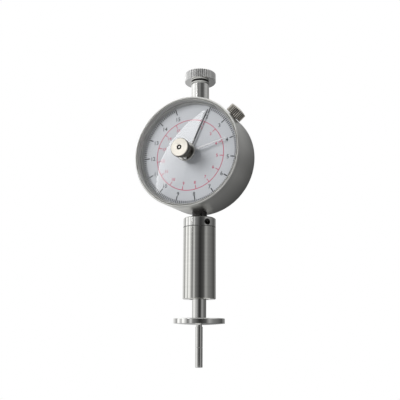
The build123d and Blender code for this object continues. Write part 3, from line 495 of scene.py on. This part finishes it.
# %% [markdown]
# ## Finishes on the CAD nodes
# The record names a material slot for each node, so the finish follows from
# that and no node can be forgotten. A few nodes take another finish than their
# slot's, closer to how the real piece looks.

# %% Give each node its finish
own_finishes = {
    "lens_ring": "case_satin",
    "reset_grub_screw": "polished",
    "barrel_collar": "collar_polish",
    "reset_shaft": "shaft_satin",
    "indenter": "pin_polish",
    "collar_set_screw": "stem_black",
}
for part in frame["record"]["subparts"]:
    materials = frame["nodes"][part["node"]].data.materials
    materials.clear()
    materials.append(finishes[own_finishes.get(part["node"], part["material_slot"])])

# %% [markdown]
# ## Print on the dial
# The scale is silk-screened: a thin layer of ink that stands a few hundredths
# of a millimetre above the paint. A texture could hold it, but thin solids
# stay sharp at any distance. The scale runs from 2 to 15 clockwise; angles are
# counted from the top.

# %% Sizes of the dial print
dial_face_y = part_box("dial")[0].y
ink_sink = 0.002 * MM
ink_height = 0.03 * MM
ink_back = dial_face_y + ink_sink
ink_front = dial_face_y - ink_height
scale_first = 2
scale_last = 15
scale_values = range(scale_first, scale_last + 1)
scale_start = 27.0
scale_step = 24.23


def scale_angle(value):
    return radians(scale_start + (value - scale_first) * scale_step)


print("dial face at", round(dial_face_y / MM, 3), "mm")


# %% Helpers: a bar of ink and a finished piece
def ink_bar(mesh, angle, start, end, width):
    along = Vector((sin(angle), 0, cos(angle)))
    across = Vector((cos(angle), 0, -sin(angle))) * (width / 2)
    corners = []
    for depth in (ink_back, ink_front):
        lift = Vector((0, depth, 0))
        for reach, side in ((start, -1), (start, 1), (end, 1), (end, -1)):
            corners.append(mesh.verts.new(along * reach * MM + across * side * MM + lift))
    ends = ((0, 1, 2, 3), (7, 6, 5, 4))
    walls = ((0, 4, 5, 1), (1, 5, 6, 2), (2, 6, 7, 3), (3, 7, 4, 0))
    for ring in ends + walls:
        mesh.faces.new([corners[i] for i in ring])


def add_object(name, data):
    thing = bpy.data.objects.new(name, data)
    bpy.context.scene.collection.objects.link(thing)
    return thing


def finish_piece(name, mesh, finish, body):
    bmesh.ops.recalc_face_normals(mesh, faces=mesh.faces)
    data = bpy.data.meshes.new(name)
    mesh.to_mesh(data)
    mesh.free()
    piece = add_object(name, data)
    data.materials.append(finish)
    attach(piece, body)
    print(name, len(data.vertices), "vertices", len(data.polygons), "faces")
    return piece


print("ink and piece helpers ready")

# %% Scale ticks
tick_outer = 24.6
tick_major = 21.3
tick_minor = 23.15
major_width = 0.56
minor_width = 0.48
ticks = bmesh.new()
for value in scale_values:
    ink_bar(ticks, scale_angle(value), tick_major, tick_outer, major_width)
    if value < scale_last:
        for tenth in range(1, 10):
            ink_bar(ticks, scale_angle(value + tenth / 10), tick_minor, tick_outer, minor_width)
finish_piece("dial_ticks", ticks, black_ink, "bezel")

# %% [markdown]
# ## Upright numbers
# The numbers stand upright all round the dial. Blender's own font gives plain
# digits: each is made as a text curve, turned into a solid as thick as the ink,
# centred on its middle and moved to its place.

# %% Helper: upright numbers
digit_share = 0.7
digit_weight = 0.035 * MM
weld = 1e-7


def ink_numbers(values, place, height):
    mesh = bmesh.new()
    for value in values:
        text = bpy.data.curves.new("number", "FONT")
        text.body = str(value)
        text.size = height * MM / digit_share
        text.align_x = "CENTER"
        text.align_y = "CENTER"
        text.extrude = ink_height / 2
        text.offset = digit_weight
        text.resolution_u = 3
        holder = add_object("number", text)
        bpy.context.view_layer.update()
        evaluated = holder.evaluated_get(bpy.context.evaluated_depsgraph_get())
        solid = bpy.data.meshes.new_from_object(evaluated)
        wide = [vertex.co.x for vertex in solid.vertices]
        tall = [vertex.co.y for vertex in solid.vertices]
        middle = Vector((min(wide) + max(wide), min(tall) + max(tall), 0)) / 2
        stand = Matrix.Rotation(pi / 2, 4, "X") @ Matrix.Translation(-middle)
        solid.transform(Matrix.Translation(place(value)) @ stand)
        mesh.from_mesh(solid)
        bpy.data.objects.remove(holder)
        bpy.data.curves.remove(text)
        bpy.data.meshes.remove(solid)
    bmesh.ops.remove_doubles(mesh, verts=mesh.verts, dist=weld)
    return mesh


def on_dial(angle, radius):
    return Vector((radius * MM * sin(angle), dial_face_y - ink_height / 2, radius * MM * cos(angle)))


print("number helpers ready")

# %% Numbers of the outer scale
number_height = 1.9
number_radius = 19.95
wide_number_radius = 19.35
number_shift = Vector((0, 0, -0.3)) * MM


def outer_place(value):
    return number_shift + on_dial(scale_angle(value), number_radius if value < 10 else wide_number_radius)


numbers = ink_numbers(scale_values, outer_place, number_height)
finish_piece("dial_numbers", numbers, black_ink, "bezel")

# %% [markdown]
# ## Turned sections
# The printed circle, the lens and the bezel are all sections turned about the
# dial's axis. A Screw modifier could turn them, but a loop keeps the rings and
# steps exact and needs no applying. The knob and the spring are skinned from
# rows of points in the same way.


# %% Helpers: skin rows of points and turn a section
def skin_rows(mesh, rows):
    for row, after in zip(rows, rows[1:]):
        for step in range(len(row)):
            other = (step + 1) % len(row)
            face = mesh.faces.new((row[step], row[other], after[other], after[step]))
            face.smooth = True


def turn_section(section, turns):
    mesh = bmesh.new()
    rows = []
    for radius, depth in section:
        row = []
        for step in range(turns):
            turn = 2 * pi * step / turns
            row.append(mesh.verts.new((radius * sin(turn), depth, radius * cos(turn))))
        rows.append(row)
    skin_rows(mesh, rows + rows[:1])
    return mesh


print("section helpers ready")

# %% [markdown]
# ## Inner scale
# A second scale in another unit is printed in red on a thin circle. Its marks
# stand a little behind those of the outer scale.

# %% Red circle, ticks and numbers
inner_share = 0.981
red_shift = Vector((0.2, 0, -0.6)) * MM
ring_radius = 17.45
ring_half = 0.17
ring_turns = 180
red_tick_inner = 15.6
red_tick_overlap = 0.01
red_tick_outer = ring_radius - ring_half + red_tick_overlap
red_tick_width = 0.34
red_number_radius = 14.2
red_number_height = 1.45
ring_inside = (ring_radius - ring_half) * MM
ring_outside = (ring_radius + ring_half) * MM
ring_section = [
    (ring_inside, ink_back), (ring_outside, ink_back), (ring_outside, ink_front), (ring_inside, ink_front)
]
red = turn_section(ring_section, ring_turns)
for face in red.faces:
    face.smooth = False
for value in scale_values:
    ink_bar(red, scale_angle(value * inner_share), red_tick_inner, red_tick_outer, red_tick_width)
bmesh.ops.translate(red, verts=red.verts, vec=red_shift)
finish_piece("dial_red_scale", red, red_ink, "bezel")


def inner_place(value):
    return red_shift + on_dial(scale_angle(value * inner_share), red_number_radius)


red_numbers = ink_numbers(scale_values, inner_place, red_number_height)
finish_piece("dial_red_numbers", red_numbers, red_ink, "bezel")

# %% [markdown]
# ## Finer lens
# The lens is a shallow dome, and a reflection in it shows every facet. The CAD
# mesh is coarse along the radius, so the same form is turned again here with
# many rings. A subdivision modifier would round the rim off as well.

# %% Lens turned from its section
lens_low, lens_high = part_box("lens")
lens_edge = (lens_high.x - lens_low.x) / 2
lens_hole = 1.8 * MM
lens_thickness = 1.0 * MM
lens_crown = lens_high.y - lens_low.y - lens_thickness
lens_sphere = (lens_edge**2 + lens_crown**2) / (2 * lens_crown)
lens_rings = 24
lens_turns = 144
turned_crease = radians(30)
section = []
for step in range(lens_rings + 1):
    radius = lens_hole + (lens_edge - lens_hole) * step / lens_rings
    section.append((radius, lens_low.y + lens_sphere - sqrt(lens_sphere**2 - radius**2)))
section += [(radius, depth + lens_thickness) for radius, depth in reversed(section)]
fine = turn_section(section, lens_turns)
lens_fine = finish_piece("lens_fine", fine, finishes["lens_clear"], "bezel")
lens_fine.data.set_sharp_from_angle(angle=turned_crease)
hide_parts("lens")
print("lens sphere", round(lens_sphere / MM, 1), "mm")

# %% [markdown]
# ## Bezel with a smooth wall
# The bezel is a turned ring that carries the lens and turns with the dial. Its
# inner wall runs from the rim down to the dial in one shallow cove, and the
# lens snaps into a groove in it. The CAD ring is stepped and has a loose ring
# above the lens, which shows as lines that the real wall doesn't have, so the
# section is turned again here with the cove.

# %% Sizes of the bezel
bezel_low, bezel_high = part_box("bezel_ring")
bezel_gap = 0.02 * MM
bezel_edge = bezel_high.x - bezel_gap
bezel_front = bezel_low.y
bezel_rear = bezel_high.y
bezel_bore = 25.5 * MM
bezel_turns = 180
inner_break = 0.06 * MM
inner_break_depth = 0.05 * MM
outer_break = 0.2 * MM
cove_foot = 24.68 * MM
cove_mouth = 25.66 * MM
cove_low = dial_face_y - bezel_gap
cove_top = bezel_front + inner_break_depth
cove_steps = 5
groove_floor_gap = 0.01 * MM
groove_roof_gap = 0.05 * MM
groove_wall = lens_edge + bezel_gap
groove_floor = lens_high.y + groove_floor_gap
groove_roof = lens_high.y - lens_thickness - groove_roof_gap
track_front = -9.6 * MM
track_rear = -6.4 * MM
track_floor = 25.85 * MM
print("bezel from", round(bezel_front / MM, 2), "to", round(bezel_rear / MM, 2), "mm")


# %% Bezel turned from its section
def cove_wall(start, end):
    wall = []
    for step in range(cove_steps + 1):
        depth = start + (end - start) * step / cove_steps
        rise = (cove_low - depth) / (cove_low - cove_top)
        wall.append((cove_foot + (cove_mouth - cove_foot) * rise**2, depth))
    return wall


section = cove_wall(cove_low, groove_floor)
section += [(groove_wall, groove_floor), (groove_wall, groove_roof)]
section += cove_wall(groove_roof, cove_top)
section += [
    (cove_mouth + inner_break, bezel_front),
    (bezel_edge - outer_break, bezel_front),
    (bezel_edge, bezel_front + outer_break),
    (bezel_edge, track_front),
    (track_floor, track_front),
    (track_floor, track_rear),
    (bezel_edge, track_rear),
    (bezel_edge, bezel_rear),
    (bezel_bore, bezel_rear),
    (bezel_bore, cove_low),
]
turned = turn_section(section, bezel_turns)
bezel_fine = finish_piece("bezel_fine", turned, finishes["bezel_satin"], "bezel")
bezel_fine.data.set_sharp_from_angle(angle=turned_crease)
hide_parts("bezel_ring", "lens_ring")

# %% [markdown]
# ## Knob of the clamp screw
# The bezel is locked by a small thumb screw. Its head has a coarse straight
# knurl: flat ridges with square valleys between, cut by a wheel. The CAD head
# has plain notches, so the knurl is built here ring by ring, and the dome runs
# out of the valleys as a turned end does. Each ring has its height along the
# screw, its radius and how much of the knurl's depth it shows.

# %% Clamp knob built ring by ring
clamp_first = Vector((0, 1, 0))
clamp_second = clamp_out.cross(clamp_first)
knurl_count = 30
knurl_depth = 0.5
knurl_steps = ((0.0, 0.0), (0.42, 0.0), (0.52, 0.9), (0.70, 1.0), (0.90, 0.9))
knurl_crease = radians(35)
knob_radius = 4.4
knob_end = 32.0
knob_rings = [
    (26.92, 1.5, 0.0),
    (27.4, 1.5, 0.0),
    (27.4, 4.2, 0.7),
    (27.6, knob_radius, 1.0),
    (31.1, knob_radius, 1.0),
    (31.3, 4.28, 0.8),
    (31.45, 3.88, 0.0),
    (31.7, 3.0, 0.0),
    (31.88, 1.8, 0.0),
    (31.97, 0.8, 0.0),
]
knob = bmesh.new()
rows = []
for height, radius, share in knob_rings:
    centre = clamp_centre + clamp_out * height * MM
    row = []
    for tooth in range(knurl_count):
        for part, drop in knurl_steps:
            turn = 2 * pi * (tooth + part) / knurl_count
            reach = (radius - drop * share * knurl_depth) * MM
            row.append(knob.verts.new(centre + (clamp_first * cos(turn) + clamp_second * sin(turn)) * reach))
    rows.append(row)
skin_rows(knob, rows)
for row, height in ((rows[0], knob_rings[0][0]), (rows[-1], knob_end)):
    pole = knob.verts.new(clamp_centre + clamp_out * height * MM)
    for step in range(len(row)):
        face = knob.faces.new((row[step], row[(step + 1) % len(row)], pole))
        face.smooth = True
clamp_fine = finish_piece("clamp_fine", knob, finishes["clamp_dark"], "clamp_screw")
clamp_fine.data.set_sharp_from_angle(angle=knurl_crease)
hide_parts("clamp_screw")

# %% [markdown]
# ## Main spring
# The spring stands in the barrel and closes up as the pin is pushed in.

# %% Spring wound from its wire
spring_low, spring_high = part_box("main_spring")
spring_turns = 8
wire_radius = 0.5 * MM
wire_sides = 10
wire_crease = radians(40)
turn_steps = 32
coil_radius = spring_high.x - wire_radius
coil_rise = spring_high.z - spring_low.z - 2 * wire_radius
climb = coil_rise / (2 * pi * spring_turns)
wire = bmesh.new()
rows = []
for step in range(spring_turns * turn_steps + 1):
    turn = 2 * pi * step / turn_steps
    outward = Vector((cos(turn), sin(turn), 0))
    ahead = Vector((-coil_radius * sin(turn), coil_radius * cos(turn), climb)).normalized()
    upward = outward.cross(ahead)
    centre = outward * coil_radius + Vector((0, 0, spring_low.z + wire_radius + climb * turn))
    row = []
    for side in range(wire_sides):
        lean = 2 * pi * side / wire_sides
        row.append(wire.verts.new(centre + (outward * cos(lean) + upward * sin(lean)) * wire_radius))
    rows.append(row)
skin_rows(wire, rows)
wire.faces.new(rows[0])
wire.faces.new(rows[-1])
spring_fine = finish_piece("spring_fine", wire, finishes["spring_steel"], "case")
spring_fine.data.set_sharp_from_angle(angle=wire_crease)
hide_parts("main_spring")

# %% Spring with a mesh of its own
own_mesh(spring_fine)

# %% [markdown]
# ## Studio
# A product shot on white: a pale floor, soft lamps, and cards that the metal
# mirrors. White comes from the world as the camera, the metal and the lens
# see it, and not from more light on the tool.

# %% World
sky_light = 0.32
world = bpy.data.worlds.new("studio")
bpy.context.scene.world = world
world.use_nodes = True
tree = world.node_tree
tree.nodes.clear()
seen = put(tree, "ShaderNodeBackground", {"Color": (1, 1, 1), "Strength": 1.0})
lit = put(tree, "ShaderNodeBackground", {"Color": (0.96, 0.98, 1.0), "Strength": sky_light})
path = put(tree, "ShaderNodeLightPath").outputs
mirrored = compute(tree, "MAXIMUM", path["Is Camera Ray"], path["Is Glossy Ray"])
shown = compute(tree, "MAXIMUM", mirrored, path["Is Transmission Ray"])
shaders = {"Fac": shown, 1: lit.outputs["Background"], 2: seen.outputs["Background"]}
choose = put(tree, "ShaderNodeMixShader", shaders)
put(tree, "ShaderNodeOutputWorld", {"Surface": choose.outputs["Shader"]})
print("world ready")

# %% Floor
floor_z = -0.16
floor_radius = 0.38
floor_sides = 64
floor_points = []
for step in range(floor_sides):
    turn = 2 * pi * step / floor_sides
    floor_points.append((floor_radius * sin(turn), -floor_radius * cos(turn), floor_z))
floor_mesh = bpy.data.meshes.new("floor")
floor_mesh.from_pydata(floor_points, [], [tuple(range(floor_sides))])
floor = add_object("floor", floor_mesh)
finish, tree, surface = bare_finish("floor_paper")
marks = use_group(tree, handling_marks, Size_mm=60.0)
paper = mix(tree, marks.outputs["Smear"], (0.88, 0.88, 0.88), (0.92, 0.92, 0.92))
fill(tree, surface, {"Base Color": paper, "Roughness": 0.8})
floor_mesh.materials.append(finish)
print("floor at", floor_z)

# %% [markdown]
# ## Camera
# The camera stands right of the dial and a little below it, 0.29 m away. Its
# place and focal length were solved from the outlines of the round parts.

# %% Camera
view_target = Vector((0.19, 0.0, -20.22)) * MM
view_azimuth = radians(23.48)
view_elevation = radians(-12.52)
view_roll = radians(0.28)
view_distance = 293.59 * MM
view_level = cos(view_elevation)
view_back = Vector((sin(view_azimuth) * view_level, -cos(view_azimuth) * view_level, sin(view_elevation)))
camera_data = bpy.data.cameras.new("camera")
camera_data.sensor_width = 36.0
camera_data.lens = 53.72
camera = add_object("camera", camera_data)
stand = Matrix.Translation(view_target + view_back * view_distance)
aim = view_back.to_track_quat("Z", "Y").to_matrix().to_4x4()
camera.matrix_world = stand @ aim @ Matrix.Rotation(view_roll, 4, "Z")
bpy.context.scene.camera = camera
print("camera at", [round(v / MM, 1) for v in camera.matrix_world.translation])

# %% [markdown]
# ## Cards for the metal
# Polished metal shows what stands round it. A ring of card, bright to the left
# of the camera, dark behind it and grey to the right, gives the barrel its
# streaks. Each strip has a turn from the camera and a level low down and high
# up, and the card fades from one strip to the next. The strips follow the
# streaks that the photograph shows on the barrel and the neck, with levels
# rounded and tuned. Cards only meet reflected rays, so they neither
# light the tool nor hide it in another view.

# %% Paper of the cards
card_paper = bpy.data.materials.new("card_paper")
card_paper.use_nodes = True
tree = card_paper.node_tree
tree.nodes.clear()
level = put(tree, "ShaderNodeAttribute", attribute_name="glow")
shine = put(tree, "ShaderNodeEmission", {"Strength": level.outputs["Fac"]})
put(tree, "ShaderNodeOutputMaterial", {"Surface": shine.outputs["Emission"]})
print("card paper ready")


# %% Helpers: a card that glows by its points
def glow_card(name, rows, closed=False):
    width = len(rows[0])
    points = [point for row in rows for point, level in row]
    glow = [level for row in rows for point, level in row]
    faces = []
    for start in range(0, width * (len(rows) - 1), width):
        for step in range(width if closed else width - 1):
            other = (step + 1) % width
            faces.append((start + step, start + other, start + width + other, start + width + step))
    data = bpy.data.meshes.new(name)
    data.from_pydata(points, [], faces)
    layer = data.attributes.new("glow", "FLOAT", "POINT")
    layer.data.foreach_set("value", glow)
    data.materials.append(card_paper)
    card = add_object(name, data)
    card.visible_camera = False
    card.visible_diffuse = False
    card.visible_shadow = False
    card.visible_transmission = False
    print(name, len(points), "points", len(faces), "faces")


def round_tool(turn, far, height):
    angle = view_azimuth + radians(turn)
    return (far * sin(angle), -far * cos(angle), height)


print("card helpers ready")

# %% Ring of card round the tool
ring_far = 0.9
ring_heights = (-0.15, -0.12, 0.11, 0.21, 0.36, 0.75)
ring_feet = {-180: 0.56, 180: 0.19}
sky_from = -160
sky_to = -80
sky_lift = 2.4
ring_strips = [
    (-180, 0.65, 0.65),
    (-160, 1.0, 1.0),
    (-130, 0.7, 0.95),
    (-118, 0.3, 0.85),
    (-105, 1.45, 0.95),
    (-85, 0.55, 1.3),
    (-76, 1.45, 1.0),
    (-66, 0.9, 0.95),
    (-50, 0.2, 0.95),
    (-36, 0.8, 0.45),
    (-28, 0.25, 0.2),
    (0, 0.04, 0.3),
    (8, 0.04, 0.12),
    (30, 0.1, 0.1),
    (46, 0.45, 0.15),
    (65, 0.25, 0.45),
    (90, 0.18, 0.5),
    (120, 0.08, 0.3),
    (132, 0.25, 0.3),
    (150, 0.25, 0.3),
    (180, 0.65, 0.65),
]
rows = []
for turn, low, high in ring_strips:
    foot = ring_feet.get(turn, low)
    top = high * sky_lift if sky_from < turn < sky_to else high
    levels = (foot, low, low, (low + high) / 2, high, top)
    rows.append([(round_tool(turn, ring_far, height), level) for height, level in zip(ring_heights, levels)])
glow_card("card_ring", rows)

# %% [markdown]
# ## Card under the tool
# The cap and the splash disc have undersides that mirror what lies below. A
# round card there is bright to the left and in front and dark to the right. Each
# circle has a level at the left, in front, at the right and on either side of
# the seam behind the tool, where the ring's foot takes the same levels.

# %% Card under the tool
under_seam = 179.5
under_rings = [
    (0.0, 0.25, 0.25, 0.25, 0.25, 0.25),
    (0.2, 0.8, 0.6, 0.15, 0.3, 0.18),
    (0.5, 0.8, 1.0, 0.17, 0.45, 0.2),
    (0.9, 0.62, 0.8, 0.19, 0.56, 0.19),
]
under_keys = (-under_seam, -150, -90, -40, 0, 100, 150, under_seam)
under_turns = [-under_seam, *range(-170, 171, 10), under_seam]
rows = []
for far, left, front, right, left_seam, right_seam in under_rings:
    key_levels = (left_seam, left, left, front, front, right, right, right_seam)
    row = []
    for turn in under_turns:
        key = max(i for i in range(len(under_keys) - 1) if under_keys[i] <= turn)
        share = (turn - under_keys[key]) / (under_keys[key + 1] - under_keys[key])
        level = key_levels[key] + (key_levels[key + 1] - key_levels[key]) * share
        row.append((round_tool(turn, far, ring_heights[0]), level))
    rows.append(row)
glow_card("card_under", rows, closed=True)

# %% [markdown]
# ## Softbox in the lens
# The photograph's lens mirrors a slanting soft light as a pale leaf. A card of
# that shape stands where the lens looks: left of the camera and a bit higher.
# Its place was found by following the camera's lines through the mirror of
# the dome, and its edges are two bulged curves. They run beside each
# other from the tip to the right edge's foot, and from there the leaf closes.
# The glow is almost even near the tip and fades from left to right further down.


# %% Edges of the leaf
def bulged_edge(start, bulge, end, share):
    return start.lerp(bulge, share).lerp(bulge.lerp(end, share), share)


leaf_tip = Vector((-46, 94))
leaf_left_bulge = Vector((72, 6))
leaf_left_foot = Vector((59, -93))
leaf_right_bulge = Vector((-24, 18))
leaf_right_foot = Vector((-6, -68))
leaf_bottom = Vector((40, -97))
leaf_side_rows = 4
leaf_foot_rows = 2
leaf_left_share = 0.84
leaf_left = []
leaf_right = []
for row in range(leaf_side_rows + 1):
    down = row / leaf_side_rows
    leaf_left.append(bulged_edge(leaf_tip, leaf_left_bulge, leaf_left_foot, down * leaf_left_share))
    leaf_right.append(bulged_edge(leaf_tip, leaf_right_bulge, leaf_right_foot, down))
for row in range(1, leaf_foot_rows + 1):
    down = row / leaf_foot_rows
    rest = leaf_left_share + (1 - leaf_left_share) * down
    leaf_left.append(bulged_edge(leaf_tip, leaf_left_bulge, leaf_left_foot, rest))
    leaf_right.append(leaf_right_foot.lerp(leaf_bottom, down))
print("leaf edges of", len(leaf_left), "points")


# %% Leaf-shaped softbox
def upright_axes(away):
    across = away.cross(Vector((0, 0, 1))).normalized()
    return across, across.cross(away)


leaf_centre = Vector((-210, -445, 151)) * MM
leaf_across, leaf_up = upright_axes((leaf_centre - Vector((0, dial_face_y, 0))).normalized())
leaf_fades = (0.0, 0.0, 0.0, 0.7, 1.0, 1.0, 1.0)
leaf_shares = (0.0, 0.15, 0.4, 0.7, 1.0)
leaf_top_glow = (6.6, 6.6, 6.5, 6.4, 6.3)
leaf_low_glow = (7.0, 4.4, 3.0, 1.6, 0.5)
rows = []
for left, right, fade in zip(leaf_left, leaf_right, leaf_fades):
    row = []
    for share, top, low in zip(leaf_shares, leaf_top_glow, leaf_low_glow):
        spot = left.lerp(right, share)
        point = leaf_centre + (leaf_across * spot.x + leaf_up * spot.y) * MM
        row.append((point, top + (low - top) * fade))
    rows.append(row)
glow_card("card_leaf", rows)

# %% [markdown]
# ## Flag over the clamp knob
# The left side of the clamp knob looks up past the ring into the white world and
# would be too pale. A photographer hangs a dark flag for that, so a small dark
# card stands where this side looks.

# %% Flag over the clamp knob
flag_centre = Vector((-170, -150, 300)) * MM
flag_half = 90 * MM
flag_glow = 0.12
knob_reach = 29 * MM
flag_across, flag_up = upright_axes((flag_centre - clamp_out * knob_reach).normalized())
rows = []
for up in (-1, 1):
    edge = [flag_centre + (flag_across * side + flag_up * up) * flag_half for side in (-1, 1)]
    rows.append([(point, flag_glow) for point in edge])
glow_card("card_flag", rows)

# %% [markdown]
# ## Lamps
# Two square lamps light the paint and the print: a key to the left of the camera
# and a weak fill to the right. Reflections don't show them, because the cards
# already give the metal and the lens what they mirror.

# %% Lamps
lamp_target = Vector((0, 0, -0.02))
lamp_size = 0.6


def soft_lamp(name, place, power):
    data = bpy.data.lights.new(name, "AREA")
    data.shape = "SQUARE"
    data.size = lamp_size
    data.energy = power
    lamp = add_object(name, data)
    lamp.location = place
    lamp.rotation_euler = (lamp_target - Vector(place)).to_track_quat("-Z", "Y").to_euler()
    lamp.visible_glossy = False
    lamp.visible_transmission = False
    lamp.visible_camera = False


soft_lamp("key", place=(-0.5, -0.93, 0.36), power=12.1)
soft_lamp("fill", place=(0.7, -0.5, 0.2), power=1.5)
print("lamps", len(bpy.data.lights))

# %% View transform
bpy.context.scene.view_settings.view_transform = "Standard"
